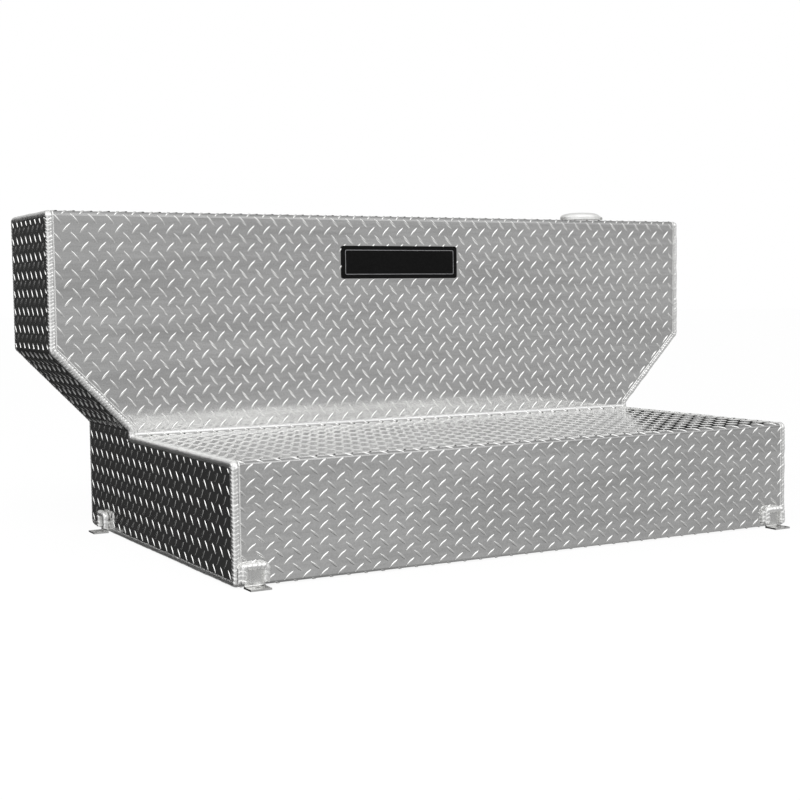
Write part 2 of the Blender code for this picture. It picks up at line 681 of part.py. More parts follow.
def ports(top_sheet, right_end):
    """Pump port and vent on the top, drain on the right end, each with its closure."""
    pump = Vector((PUMP_PORT_END_INSET - UPPER_WIDTH / 2, FILLER_Y, TOP_Z))
    vent = Vector((VENT_END_INSET - UPPER_WIDTH / 2, BACK_Y - VENT_BACK_INSET, TOP_Z))
    drain = Vector((LOWER_WIDTH / 2, BACK_Y - DRAIN_BACK_INSET, FLOOR_Z + DRAIN_HEIGHT))
    sideways = (0, math.pi / 2, 0)
    sheet_hole(top_sheet, "pump_port_hole", PUMP_PORT_BORE + PUMP_PORT_WALL + GAP, pump)
    sheet_hole(top_sheet, "vent_hole", VENT_BORE + VENT_WALL + GAP, vent)
    sheet_hole(right_end, "drain_hole", DRAIN_BORE + DRAIN_WALL + GAP, drain, (1, 0, 0))
    bung("pump_port_bung", PUMP_PORT_BORE, PUMP_PORT_WALL, PUMP_PORT_SHOULDER, pump)
    bung("vent_bung", VENT_BORE, VENT_WALL, VENT_SHOULDER, vent)
    bung("drain_bung", DRAIN_BORE, DRAIN_WALL, DRAIN_SHOULDER, drain, sideways)
    bung_weld("pump_port_weld", PUMP_PORT_BORE + PUMP_PORT_WALL + PUMP_PORT_SHOULDER, pump)
    bung_weld("vent_weld", VENT_BORE + VENT_WALL + VENT_SHOULDER, vent)
    bung_weld("drain_weld", DRAIN_BORE + DRAIN_WALL + DRAIN_SHOULDER, drain, sideways)

    face = GAP + PORT_RISE
    plug_radius = PUMP_PORT_BORE - GAP
    plug = turned("pump_port_plug", [(0, face), (plug_radius, face), (plug_radius, -PORT_SPIGOT),
                                     (0, -PORT_SPIGOT)], pump, ZINC)
    half = PUMP_SOCKET / 2
    socket = block("plug_socket", pump + Vector((-half, -half, face - SOCKET_DEPTH)),
                   pump + Vector((half, half, face + SOCKET_DEPTH)))
    combine(plug, as_cutter(socket), "DIFFERENCE")

    stem = VENT_BORE - GAP
    seat = face + GAP
    turned("vent_valve", [
        (0, seat + VENT_CAP), (VENT_CAP_RADIUS - VENT_CAP / 2, seat + VENT_CAP),
        (VENT_CAP_RADIUS, seat + VENT_CAP / 2), (VENT_CAP_RADIUS, seat), (stem, seat),
        (stem, -PORT_SPIGOT), (0, -PORT_SPIGOT)], vent, BRASS, SMALL_TURN_STEPS)

    stem = DRAIN_BORE - GAP
    hex_x = drain.x + seat + DRAIN_HEX / 2
    drain_plug = cylinder("drain_plug", DRAIN_HEX_RADIUS, DRAIN_HEX, (hex_x, drain.y, drain.z),
                          (1, 0, 0), 6, BRASS)
    stem_length = PORT_SPIGOT + seat + DRAIN_HEX / 2
    stem_x = drain.x - PORT_SPIGOT + stem_length / 2
    thread = cylinder("drain_stem", stem, stem_length, (stem_x, drain.y, drain.z), (1, 0, 0),
                      SMALL_TURN_STEPS)
    combine(drain_plug, as_cutter(thread), "UNION")


def hang_on(name, location, pieces, parent=None):
    """An empty on a joint's axis, with the pieces that turn about it."""
    axis = bpy.data.objects.new(name, None)
    axis.location = location
    PARTS.objects.link(axis)
    if parent:
        axis.parent = parent
        axis.location = location - parent.location
    for piece in pieces:
        piece.parent = axis
        piece.matrix_parent_inverse = Matrix.Translation(-location)
    return axis


TRIM = wrap_trim()
END_TRIM = end_trim()
TOP_SHEET = front_wrap(TRIM)
rear_wrap(TRIM)
end_sheet("left_end_sheet", -1, END_TRIM)
RIGHT_END = end_sheet("right_end_sheet", 1, END_TRIM)
seam_weld("left_seam_weld", -1)
seam_weld("right_seam_weld", 1)
straight_seam("top_seam_weld", UPPER_WIDTH, BACK_Y - SEAM_BEAD, TOP_Z - SEAM_BEAD, SEAM_BEAD)
straight_seam("floor_seam_weld", LOWER_WIDTH, FRONT_Y + FLOOR_FLANGE, FLOOR_Z + FLOOR_BEAD, FLOOR_BEAD)
baffles()
feet()
name_plate()
FLANGE_PIECE = flange_seat(TOP_SHEET)
LID = lid_dome()
hinge_pin(FLANGE_PIECE, LID)
LID_SEAL = ring("lid_seal", NECK_RADIUS - SEAL_WIDTH, NECK_RADIUS, NECK_TOP + GAP,
                NECK_TOP + GAP + SEAL, FILLER, RUBBER)
ports(TOP_SHEET, RIGHT_END)
HINGE_AXIS = hang_on("lid_hinge_axis", HINGE, [LID, LID_SEAL])
hang_on("lock_axis", FILLER, lid_lock(), HINGE_AXIS)
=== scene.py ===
import json
import math

import bmesh
import bpy
from mathutils import Matrix, Vector


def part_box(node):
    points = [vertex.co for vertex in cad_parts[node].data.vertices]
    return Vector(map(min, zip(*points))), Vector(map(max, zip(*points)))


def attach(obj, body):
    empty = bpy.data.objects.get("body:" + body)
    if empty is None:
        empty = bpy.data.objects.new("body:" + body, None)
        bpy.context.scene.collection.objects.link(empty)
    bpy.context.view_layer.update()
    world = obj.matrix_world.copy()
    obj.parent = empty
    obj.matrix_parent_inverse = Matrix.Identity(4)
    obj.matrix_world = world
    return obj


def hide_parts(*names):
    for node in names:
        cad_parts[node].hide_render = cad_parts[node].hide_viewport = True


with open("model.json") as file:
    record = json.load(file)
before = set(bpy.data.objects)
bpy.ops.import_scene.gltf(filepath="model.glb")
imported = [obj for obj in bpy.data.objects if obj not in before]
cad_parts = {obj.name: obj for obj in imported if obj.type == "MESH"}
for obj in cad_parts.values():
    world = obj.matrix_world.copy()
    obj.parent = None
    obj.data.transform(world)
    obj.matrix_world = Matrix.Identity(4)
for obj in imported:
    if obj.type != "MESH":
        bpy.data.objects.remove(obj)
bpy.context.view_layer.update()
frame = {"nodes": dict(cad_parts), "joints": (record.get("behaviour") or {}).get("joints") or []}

# Shell sheets. The tank is bent from four sheets of bright aluminium tread plate: a front wrap, a rear
# wrap and two ends. Rolling leaves fine streaks along a sheet, bending makes its bends matt, and handling
# has dulled the rear wrap all over. The bends that turn outwards high up or at the front also carry
# painted shade, their colour darkened.
SHEET_BRIGHT, SHEET_DULL = (0.80, 0.80, 0.795), (0.58, 0.58, 0.575)
SHEET_STREAKS, SHEET_GLOSS, HANDLED_GLOSS = (14, 130, 130), (0.06, 0.12), (0.36, 0.50)
# the bend share makes bends matt and, on bends high up or at the front, sets how far painted shade darkens
# their colour
SHEET_SCUFF, BEND_DULL_AND_SHADE, BEND_ROUGH, SHADED_BEND_SPLIT = 0.05, 0.5, 0.40, 0.3


def node(tree, kind, inputs=None, **settings):
    """A node of a tree with its settings, and its inputs given as values or as other nodes' outputs."""
    made = tree.nodes.new(kind)
    for key, value in settings.items():
        setattr(made, key, value)
    for key, value in (inputs or {}).items():
        if isinstance(value, bpy.types.NodeSocket):
            tree.links.new(value, made.inputs[key])
        else:
            made.inputs[key].default_value = value
    return made


def sum_in(tree, operation, *terms):
    """One step of arithmetic in a tree."""
    return node(tree, "ShaderNodeMath", dict(enumerate(terms)), operation=operation).outputs[0]


def rolled_metal(name, bright, dull, gloss, streaks, depth, scuff=0.0, bend_dull_and_shade=0.0):
    """Metal with streaks along one direction, patchy in gloss and tone, scuffed where it faces up and
    matt where a bend between an upright and a level face has stretched it, with painted shade darkening
    the colour of such bends that turn outwards high up or at the front."""
    metal = bpy.data.materials.new(name)
    metal.use_nodes = True
    tree = metal.node_tree
    shader = tree.nodes["Principled BSDF"]
    shader.inputs["Metallic"].default_value = 1.0

    def noise(where, scale, detail, roughness):
        return node(tree, "ShaderNodeTexNoise", {
            "Vector": where, "Scale": scale, "Detail": detail, "Roughness": roughness}).outputs["Fac"]

    def mapped(value, low, high, to_low, to_high):
        made = node(tree, "ShaderNodeMapRange", {
            "Value": value, "From Min": low, "From Max": high, "To Min": to_low, "To Max": to_high})
        return made.outputs["Result"]

    place = node(tree, "ShaderNodeTexCoord").outputs["Object"]
    along = node(tree, "ShaderNodeMapping", {"Vector": place, "Scale": streaks}).outputs["Vector"]
    grain, bands = noise(along, 1.0, 5.0, 0.6), noise(along, 0.17, 3.0, 0.5)
    specks = noise(place, 380.0, 3.0, 0.6)
    blend = sum_in(tree, "ADD", sum_in(tree, "ADD", grain, bands), specks)
    share = mapped(blend, 1.15, 1.85, 0.0, 1.0)
    tone = node(tree, "ShaderNodeValToRGB", {"Fac": share})
    tone.color_ramp.elements[0].color = (*dull, 1)
    tone.color_ramp.elements[1].color = (*bright, 1)
    facing = node(tree, "ShaderNodeTexCoord").outputs["Normal"]
    up = node(tree, "ShaderNodeSeparateXYZ", {0: facing}).outputs["Z"]
    rough = sum_in(tree, "ADD", mapped(share, 0.0, 1.0, gloss[1], gloss[0]), mapped(up, 0.5, 1.0, 0.0, scuff))
    bent = sum_in(tree, "MULTIPLY", sum_in(tree, "SUBTRACT", 1.0, up), up)
    bent = mapped(bent, 0.02, 0.12, 0.0, bend_dull_and_shade)
    rough = sum_in(tree, "MULTIPLY_ADD", bent, BEND_ROUGH, rough)
    # painted shade: a bend outwards, high up or at the front, has its colour darkened; the bend inwards
    # between them stays bright
    spot = node(tree, "ShaderNodeSeparateXYZ", {0: place}).outputs
    shaded_bend = sum_in(tree, "GREATER_THAN", sum_in(tree, "SUBTRACT", spot["Z"], spot["Y"]), SHADED_BEND_SPLIT)
    # the share of the colour left after the painted shade on the outward bends
    kept = sum_in(tree, "SUBTRACT", 1.0, sum_in(tree, "MULTIPLY", bent, shaded_bend))
    tone = node(tree, "ShaderNodeVectorMath", {0: tone.outputs["Color"], "Scale": kept}, operation="SCALE")
    bump = node(tree, "ShaderNodeBump", {"Height": blend, "Strength": 0.4, "Distance": depth})
    tree.links.new(tone.outputs[0], shader.inputs["Base Color"])
    tree.links.new(rough, shader.inputs["Roughness"])
    tree.links.new(bump.outputs["Normal"], shader.inputs["Normal"])
    return metal


def finish_nodes(material, *names):
    """Gives CAD nodes a finish in their own slots."""
    for name in names:
        for slot in frame["nodes"][name].material_slots:
            slot.material = material


sheet_metal = rolled_metal(
    "tread_sheet", SHEET_BRIGHT, SHEET_DULL, SHEET_GLOSS, SHEET_STREAKS, 0.00004, SHEET_SCUFF, BEND_DULL_AND_SHADE)
rear_metal = rolled_metal("handled_sheet", SHEET_BRIGHT, SHEET_DULL, HANDLED_GLOSS, SHEET_STREAKS, 0.0006)
finish_nodes(sheet_metal, "front_wrap_sheet", "left_end_sheet", "right_end_sheet")
finish_nodes(rear_metal, "rear_wrap_sheet")

# Tread. Raised lens-shaped lugs are rolled into the plate, leaning left and right by turns, and
# traffic keeps their crests brighter than the sheet between them. Each face carries its own field.
LUG_BRIGHT, LUG_DULL = (0.86, 0.86, 0.85), (0.74, 0.74, 0.73)
LUG_LENGTH, LUG_WIDTH, LUG_HEIGHT, LUG_ROOT = 0.0288, 0.0054, 0.0013, 0.0003
CREST_SPREAD, CREST_POWER, LUG_PLAY, LUG_GROWTH = 0.45, 0.6, 0.03, (0.95, 1.04)
LUG_LEAN, LUG_OVERHANG, TREAD_PITCH = math.radians(49), 0.009, (0.0345, 0.0355)
FINE_LENGTH, FINE_LEAN, FINE_PITCH = 0.0262, math.radians(41), (0.0335, 0.0270)
EDGE = 0.0125


def tree_with(name, takes, gives):
    """An empty node tree with named inputs, and the sockets of its two ends."""
    tree = bpy.data.node_groups.new(name, "GeometryNodeTree")
    tree.interface.new_socket("Geometry", in_out="INPUT", socket_type="NodeSocketGeometry")
    for key, kind in takes.items():
        tree.interface.new_socket(key, in_out="INPUT", socket_type=f"NodeSocket{kind}")
    tree.interface.new_socket(gives, in_out="OUTPUT", socket_type="NodeSocketGeometry")
    return tree, tree.nodes.new("NodeGroupInput").outputs, tree.nodes.new("NodeGroupOutput").inputs


def lug_field_tree():
    """Fills a flat outline with lugs on a staggered grid."""
    tree, given, result = tree_with("lug_field", {
        "Pitch Across": "Float", "Pitch Up": "Float", "Lug Length": "Float", "Lug Width": "Float",
        "Lug Height": "Float", "Lug Root": "Float", "Lean": "Float", "Overhang": "Float", "Seed": "Int",
        "Finish": "Material"}, "Lugs")
    # one lug: a small grid drawn in to points at its ends, its two middle rows raised to a crest
    flat = node(tree, "GeometryNodeMeshGrid", {
        "Size X": 2.0, "Size Y": 2.0, "Vertices X": 7, "Vertices Y": 4})
    here = node(tree, "GeometryNodeInputPosition").outputs[0]
    spot = node(tree, "ShaderNodeSeparateXYZ", {0: here}).outputs
    belly = sum_in(tree, "SUBTRACT", 1.0, sum_in(tree, "MULTIPLY", spot[0], spot[0]))
    crest = sum_in(tree, "LESS_THAN", sum_in(tree, "ABSOLUTE", spot[1]), 0.5)
    half_length = sum_in(tree, "MULTIPLY", given["Lug Length"], 0.5)
    half_width = sum_in(tree, "MULTIPLY", given["Lug Width"], 0.5)
    spread = sum_in(tree, "MULTIPLY_ADD", crest, CREST_SPREAD, 1.0)
    across = sum_in(tree, "MULTIPLY", sum_in(tree, "MULTIPLY", spot[1], spread),
                    sum_in(tree, "MULTIPLY", belly, half_width))
    tall = sum_in(tree, "ADD", given["Lug Height"], given["Lug Root"])
    arch = sum_in(tree, "POWER", belly, CREST_POWER)
    rise = sum_in(tree, "MULTIPLY", arch, sum_in(tree, "MULTIPLY", crest, tall))
    shape = node(tree, "ShaderNodeCombineXYZ", {
        0: sum_in(tree, "MULTIPLY", spot[0], half_length), 1: across,
        2: sum_in(tree, "SUBTRACT", rise, given["Lug Root"])})
    lug = node(tree, "GeometryNodeSetPosition", {
        "Geometry": flat.outputs["Mesh"], "Position": shape.outputs[0]})
    lug = node(tree, "GeometryNodeMergeByDistance", {"Geometry": lug.outputs[0], "Distance": 0.00005})
    # places: every second point of a half-pitch grid over the outline's box
    box = node(tree, "GeometryNodeBoundBox", {"Geometry": given["Geometry"]})
    corners = {0: box.outputs["Max"], 1: box.outputs["Min"]}
    size = node(tree, "ShaderNodeVectorMath", corners, operation="SUBTRACT")
    sides = node(tree, "ShaderNodeSeparateXYZ", {0: size.outputs[0]}).outputs
    steps, counts, spans = [], [], []
    for side, pitch in zip(sides, ("Pitch Across", "Pitch Up")):
        step = sum_in(tree, "MULTIPLY", given[pitch], 0.5)
        gaps = sum_in(tree, "ADD", sum_in(tree, "FLOOR", sum_in(tree, "DIVIDE", side, step)), 2.0)
        steps.append(step)
        counts.append(sum_in(tree, "ADD", gaps, 1.0))
        spans.append(sum_in(tree, "MULTIPLY", gaps, step))
    grid = node(tree, "GeometryNodeMeshGrid", {
        "Size X": spans[0], "Size Y": spans[1], "Vertices X": counts[0], "Vertices Y": counts[1]})
    middle = node(tree, "ShaderNodeVectorMath", corners, operation="ADD")
    middle = node(tree, "ShaderNodeVectorMath", {0: middle.outputs[0], "Scale": 0.5}, operation="SCALE")
    spread_out = node(tree, "GeometryNodeTransform", {
        "Geometry": grid.outputs["Mesh"], "Translation": middle.outputs[0]})
    where = node(tree, "GeometryNodeInputPosition").outputs[0]
    local = node(tree, "ShaderNodeVectorMath", {0: where, 1: middle.outputs[0]}, operation="SUBTRACT")
    local = node(tree, "ShaderNodeSeparateXYZ", {0: local.outputs[0]}).outputs
    numbers = []
    for value, span, step in zip(local, spans, steps):
        from_edge = sum_in(tree, "MULTIPLY_ADD", span, 0.5, value)
        numbers.append(sum_in(tree, "ROUND", sum_in(tree, "DIVIDE", from_edge, step)))
    odd = sum_in(tree, "MODULO", sum_in(tree, "ADD", *numbers), 2.0)
    away = node(tree, "GeometryNodeProximity", {"Geometry": given["Geometry"], "Sample Position": where},
                target_element="FACES")
    outside = sum_in(tree, "GREATER_THAN", away.outputs["Distance"], given["Overhang"])
    spare = sum_in(tree, "GREATER_THAN", sum_in(tree, "ADD", odd, outside), 0.5)
    kept = node(tree, "GeometryNodeDeleteGeometry", {"Geometry": spread_out.outputs[0], "Selection": spare})
    # the lugs lean one way in even columns and the other way in odd ones, with a little play
    lean = sum_in(tree, "MULTIPLY_ADD", sum_in(tree, "MODULO", numbers[0], 2.0),
                  sum_in(tree, "MULTIPLY", given["Lean"], -2.0), given["Lean"])
    play = node(tree, "FunctionNodeRandomValue", {"Min": -LUG_PLAY, "Max": LUG_PLAY, "Seed": given["Seed"]})
    turn = node(tree, "ShaderNodeCombineXYZ", {2: sum_in(tree, "ADD", lean, play.outputs["Value"])})
    grow = node(tree, "FunctionNodeRandomValue", {
        "Min": LUG_GROWTH[0], "Max": LUG_GROWTH[1], "Seed": given["Seed"]})
    laid = node(tree, "GeometryNodeInstanceOnPoints", {
        "Points": kept.outputs[0], "Instance": lug.outputs[0], "Rotation": turn.outputs[0],
        "Scale": grow.outputs["Value"]})
    real = node(tree, "GeometryNodeRealizeInstances", {"Geometry": laid.outputs[0]})
    smooth = node(tree, "GeometryNodeSetShadeSmooth", {"Geometry": real.outputs[0]})
    done = node(tree, "GeometryNodeSetMaterial", {"Geometry": smooth.outputs[0], "Material": given["Finish"]})
    tree.links.new(done.outputs[0], result[0])
    return tree


def grown(tree, source, values):
    """The plain mesh that a tree makes from a source mesh."""
    holder = bpy.data.objects.new("source", source)
    bpy.context.scene.collection.objects.link(holder)
    step = holder.modifiers.new("make", "NODES")
    step.node_group = tree
    for item in tree.interface.items_tree:
        if item.item_type == "SOCKET" and item.in_out == "INPUT" and item.name in values:
            step[item.identifier] = values[item.name]
    bpy.context.view_layer.update()
    mesh = bpy.data.meshes.new_from_object(holder.evaluated_get(bpy.context.evaluated_depsgraph_get()))
    bpy.data.objects.remove(holder)
    return mesh


def add_piece(name, meshes, body, slot, *stands_for):
    """One piece from plain meshes, riding on a body."""
    joined = bmesh.new()
    for mesh in meshes:
        joined.from_mesh(mesh)
    data = bpy.data.meshes.new(name)
    joined.to_mesh(data)
    joined.free()
    for material in meshes[0].materials:
        data.materials.append(material)
    piece = bpy.data.objects.new(name, data)
    bpy.context.scene.collection.objects.link(piece)
    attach(piece, body)
    if stands_for:
        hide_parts(*stands_for)
    return piece


lug_field = lug_field_tree()
lug_metal = rolled_metal("tread_lugs", LUG_BRIGHT, LUG_DULL, (0.14, 0.24), (90, 90, 90), 0.0002)


def inside(spot, outline):
    """Whether a point lies in a flat outline that bulges nowhere inwards."""
    return all((two[0] - one[0]) * (spot.y - one[1]) >= (two[1] - one[1]) * (spot.x - one[0])
               for one, two in zip(outline, outline[1:] + outline[:1]))


def tread_on(origin, across, up, outlines, bends=(), clear=(), pitch=TREAD_PITCH, length=LUG_LENGTH,
             lean=LUG_LEAN, seed=1):
    """The lugs of one face, cut off at its outlines and round holes, and bent over with the sheet."""
    flat = bmesh.new()
    for outline in outlines:
        flat.faces.new([flat.verts.new((u, v, 0)) for u, v in outline])
    source = bpy.data.meshes.new("face")
    flat.to_mesh(source)
    flat.free()
    mesh = grown(lug_field, source, {
        "Pitch Across": pitch[0], "Pitch Up": pitch[1], "Lug Length": length, "Lug Width": LUG_WIDTH,
        "Lug Height": LUG_HEIGHT, "Lug Root": LUG_ROOT, "Lean": lean, "Overhang": LUG_OVERHANG, "Seed": seed,
        "Finish": lug_metal})
    field = bmesh.new()
    field.from_mesh(mesh)
    for outline in outlines:
        for one, two in zip(outline, outline[1:] + outline[:1]):
            bmesh.ops.bisect_plane(field, geom=field.verts[:] + field.edges[:] + field.faces[:], dist=1e-6,
                                   plane_co=(*one, 0), plane_no=(two[1] - one[1], one[0] - two[0], 0))
    spare = []
    for face in field.faces:
        spot = face.calc_center_median()
        in_hole = any(math.hypot(spot.x - u, spot.y - v) < radius for u, v, radius in clear)
        if in_hole or not any(inside(spot, outline) for outline in outlines):
            spare.append(face)
    bmesh.ops.delete(field, geom=spare, context="FACES")
    # a bend starts at a height, goes up (1) or down (-1), and turns to the front (1) or the back (-1)
    for point in field.verts:
        for start, radius, way, toward in bends:
            past = (point.co.y - start) * way / radius
            if past > 0:
                reach = radius - toward * point.co.z
                point.co.y = start + way * reach * math.sin(past)
                point.co.z = toward * (radius - reach * math.cos(past))
    field.to_mesh(mesh)
    field.free()
    across, up = Vector(across), Vector(up)
    turn = Matrix((across, up, across.cross(up))).transposed().to_4x4()
    mesh.transform(Matrix.Translation(Vector(origin)) @ turn)
    return mesh


def oblong(low_u, low_v, high_u, high_v):
    return [(low_u, low_v), (high_u, low_v), (high_u, high_v), (low_u, high_v)]


FIT, DECK_RISE, WAIST_RISE, WING_RISE = 0.0003, 0.210, 0.221, 0.379
WAIST_GAP, WING_GAP, FLOOR_LAP, DRAIN_CLEAR = 0.003, 0.004, 0.045, 0.017
TOP_CLEAR = {"filler_neck": 0.045, "filler_flange": 0.045, "pump_port_bung": 0.037, "vent_bung": 0.015}
wrap_low, wrap_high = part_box("front_wrap_sheet")
front_y, floor_z, top_z = wrap_low.y, wrap_low.z, wrap_high.z
back_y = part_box("rear_wrap_sheet")[1].y
riser_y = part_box("name_plate")[1].y + FIT
wing_x, side_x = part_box("right_end_sheet")[1].x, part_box("rear_right_foot")[0].x - FIT
deck_z, bend_z, wing_z = floor_z + DECK_RISE, floor_z + WAIST_RISE, floor_z + WING_RISE
bend, top_bend, rear_bend, quarter = 0.008, 0.009, 0.014, math.pi / 2
lean_out = (wing_x - side_x) / (wing_z - bend_z)
slant = math.hypot(wing_x - side_x, wing_z - bend_z)
centres = {name: sum(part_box(name), Vector()) / 2 for name in (
    "filler_flange", "filler_neck", "pump_port_bung", "vent_bung", "drain_bung")}
filler = centres["filler_neck"]


def flared(low, high):
    """The upright outline of riser and back: a straight foot, a slanted waist and a straight upper part."""
    low_x, high_x = side_x - EDGE, wing_x - EDGE
    waist = side_x - EDGE * math.hypot(1, lean_out)
    return [oblong(-low_x, low, low_x, bend_z),
            [(-waist, bend_z), (waist, bend_z), (high_x, wing_z), (-high_x, wing_z)],
            oblong(-high_x, wing_z, high_x, high)]


front_tread = tread_on(
    (0, front_y, 0), (1, 0, 0), (0, 0, 1),
    [oblong(EDGE - side_x, floor_z + bend * (1 - quarter), side_x - EDGE, deck_z + bend * (quarter - 1))],
    [(floor_z + bend, bend, -1, -1), (deck_z - bend, bend, 1, -1)], pitch=FINE_PITCH, length=FINE_LENGTH,
    lean=FINE_LEAN, seed=2)
deck_tread = tread_on((0, 0, deck_z), (1, 0, 0), (0, 1, 0), [
    oblong(EDGE - side_x, front_y + bend, side_x - EDGE, riser_y - bend)], seed=3)
riser_tread = tread_on(
    (0, riser_y, 0), (1, 0, 0), (0, 0, 1),
    flared(deck_z + bend * (1 - quarter), top_z + top_bend * (quarter - 1)),
    [(deck_z + bend, bend, -1, 1), (top_z - top_bend, top_bend, 1, -1)], seed=4)
holes = [(centres[name].x, centres[name].y, radius) for name, radius in TOP_CLEAR.items()]
top_tread = tread_on((0, 0, top_z), (1, 0, 0), (0, 1, 0), [
    oblong(EDGE - wing_x, riser_y + top_bend, wing_x - EDGE, back_y - EDGE)], clear=holes, seed=5)
add_piece("front_wrap_tread", [front_tread, deck_tread, riser_tread, top_tread], "tank", "tread")
back_tread = tread_on(
    (0, back_y, 0), (-1, 0, 0), (0, 0, 1), flared(floor_z + rear_bend * (1 - quarter), top_z - EDGE),
    [(floor_z + rear_bend, rear_bend, -1, -1)], seed=6)
floor_tread = tread_on((0, 0, floor_z), (1, 0, 0), (0, -1, 0), [
    oblong(EDGE - side_x, rear_bend - back_y, side_x - EDGE, -(front_y + FLOOR_LAP))], seed=7)
add_piece("rear_wrap_tread", [back_tread, floor_tread], "tank", "tread")
for name, side in (("left", -1), ("right", 1)):
    low, high = sorted((side * (front_y + EDGE), side * (back_y - EDGE)))
    near, far = sorted((side * (riser_y + EDGE), side * (back_y - EDGE)))
    bung = centres["drain_bung"]
    drain = [(side * bung.y, bung.z, DRAIN_CLEAR)] if side > 0 else []
    lower = tread_on((side * side_x, 0, 0), (0, side, 0), (0, 0, 1), [
        oblong(low, floor_z + EDGE, high, deck_z - EDGE),
        oblong(near, deck_z - EDGE, far, bend_z - WAIST_GAP)], clear=drain, seed=8)
    slope = Vector((side * (wing_x - side_x), 0, wing_z - bend_z)) / slant
    chamfer = tread_on((side * side_x, 0, bend_z), (0, side, 0), slope, [
        oblong(near, WAIST_GAP, far, slant - WING_GAP)], seed=9)
    wing = tread_on((side * wing_x, 0, 0), (0, side, 0), (0, 0, 1), [
        oblong(near, wing_z + WING_GAP, far, top_z - EDGE)], seed=10)
    add_piece(f"{name}_end_tread", [lower, chamfer, wing], "tank", "tread")

# Surge plates. Three plain aluminium plates with flow holes stand inside, and slow the liquid's swing.
# They are sawn and drilled from mill-finish sheet and fixed inside the wraps.
PLATE_BRIGHT, PLATE_DULL = (0.86, 0.86, 0.87), (0.72, 0.72, 0.73)
plate_metal = rolled_metal("mill_aluminium", PLATE_BRIGHT, PLATE_DULL, (0.34, 0.46), (220, 220, 14), 0.0003)
finish_nodes(plate_metal, "left_baffle", "middle_baffle", "right_baffle")

# Seam welds. A rippled aluminium bead, laid by hand in overlapping pools, runs right round each end,
# along the top rear edge, and under the floor where the two wraps meet.
BEAD_BRIGHT, BEAD_DULL = (0.98, 0.98, 0.97), (0.84, 0.84, 0.83)
POOL_STEPS, RING_POINTS, CRESCENT_WAVES, CRESCENT = 6, 18, 3.0, 0.22


def bead_tree():
    """A bead along a path, each pool of weld lapping over the last, and none quite like another."""
    tree, given, result = tree_with("weld_bead", {
        "Bead Radius": "Float", "Pool Length": "Float", "Pool Depth": "Float", "Wander": "Float",
        "Finish": "Material"}, "Bead")
    path = node(tree, "GeometryNodeMeshToCurve", {"Mesh": given["Geometry"]})
    bend = node(tree, "GeometryNodeInputNamedAttribute", {"Name": "bend"}, data_type="FLOAT")
    eased = node(tree, "GeometryNodeFilletCurve", {
        "Curve": path.outputs[0], "Radius": bend.outputs["Attribute"], "Count": 6}, mode="POLY")
    step = sum_in(tree, "DIVIDE", given["Pool Length"], float(POOL_STEPS))
    fine = node(tree, "GeometryNodeResampleCurve", {"Curve": eased.outputs[0], "Length": step}, mode="LENGTH")
    number = node(tree, "GeometryNodeSplineParameter").outputs["Index"]
    noise = node(tree, "ShaderNodeTexNoise", {"Scale": 55.0, "Detail": 2.0})
    pools = sum_in(tree, "DIVIDE", number, float(POOL_STEPS))
    phase = sum_in(tree, "FRACT", sum_in(tree, "ADD", pools, noise.outputs["Fac"]))
    sway = sum_in(tree, "MULTIPLY", sum_in(tree, "SUBTRACT", noise.outputs["Fac"], 0.5), given["Wander"])
    swell = sum_in(tree, "ADD", 1.0, sum_in(tree, "MULTIPLY_ADD", phase, given["Pool Depth"], sway))
    drift = node(tree, "ShaderNodeVectorMath", {
        0: noise.outputs["Color"], 1: (0.5, 0.5, 0.5)}, operation="SUBTRACT")
    reach = sum_in(tree, "MULTIPLY", given["Wander"], given["Bead Radius"])
    drift = node(tree, "ShaderNodeVectorMath", {0: drift.outputs[0], "Scale": reach}, operation="SCALE")
    fine = node(tree, "GeometryNodeSetPosition", {"Geometry": fine.outputs[0], "Offset": drift.outputs[0]})
    # the ring that is swept along is wavy lengthwise, which curves the edge of each pool
    ring = node(tree, "GeometryNodeCurvePrimitiveCircle", {
        "Resolution": RING_POINTS, "Radius": given["Bead Radius"]})
    here = node(tree, "GeometryNodeInputPosition").outputs[0]
    spot = node(tree, "ShaderNodeSeparateXYZ", {0: here}).outputs
    turn = sum_in(tree, "ARCTAN2", spot[1], spot[0])
    wave = sum_in(tree, "COSINE", sum_in(tree, "MULTIPLY", turn, CRESCENT_WAVES))
    crescent = sum_in(tree, "MULTIPLY", wave, sum_in(tree, "MULTIPLY", given["Bead Radius"], CRESCENT))
    ring = node(tree, "GeometryNodeSetPosition", {
        "Geometry": ring.outputs[0], "Offset": node(tree, "ShaderNodeCombineXYZ", {2: crescent}).outputs[0]})
    bar = node(tree, "GeometryNodeCurveToMesh", {
        "Curve": fine.outputs[0], "Profile Curve": ring.outputs[0], "Scale": swell, "Fill Caps": True})
    real = node(tree, "GeometryNodeRealizeInstances", {"Geometry": bar.outputs[0]})
    smooth = node(tree, "GeometryNodeSetShadeSmooth", {"Geometry": real.outputs[0]})
    done = node(tree, "GeometryNodeSetMaterial", {"Geometry": smooth.outputs[0], "Material": given["Finish"]})
    tree.links.new(done.outputs[0], result[0])
    return tree


weld_bead = bead_tree()
bead_metal = rolled_metal("weld_metal", BEAD_BRIGHT, BEAD_DULL, (0.32, 0.46), (260, 260, 260), 0.0005)


def bead_on(path, radius, closed, pool=0.0068, depth=0.10, wander=0.26):
    """A bead's mesh along (point, bend radius) pairs."""
    line = bpy.data.meshes.new("path")
    count = len(path)
    links = [(index, (index + 1) % count) for index in range(count if closed else count - 1)]
    line.from_pydata([point for point, _ in path], links, [])
    bends = line.attributes.new("bend", "FLOAT", "POINT")
    bends.data.foreach_set("value", [bend for _, bend in path])
    return grown(weld_bead, line, {
        "Bead Radius": radius, "Pool Length": pool, "Pool Depth": depth, "Wander": wander,
        "Finish": bead_metal})


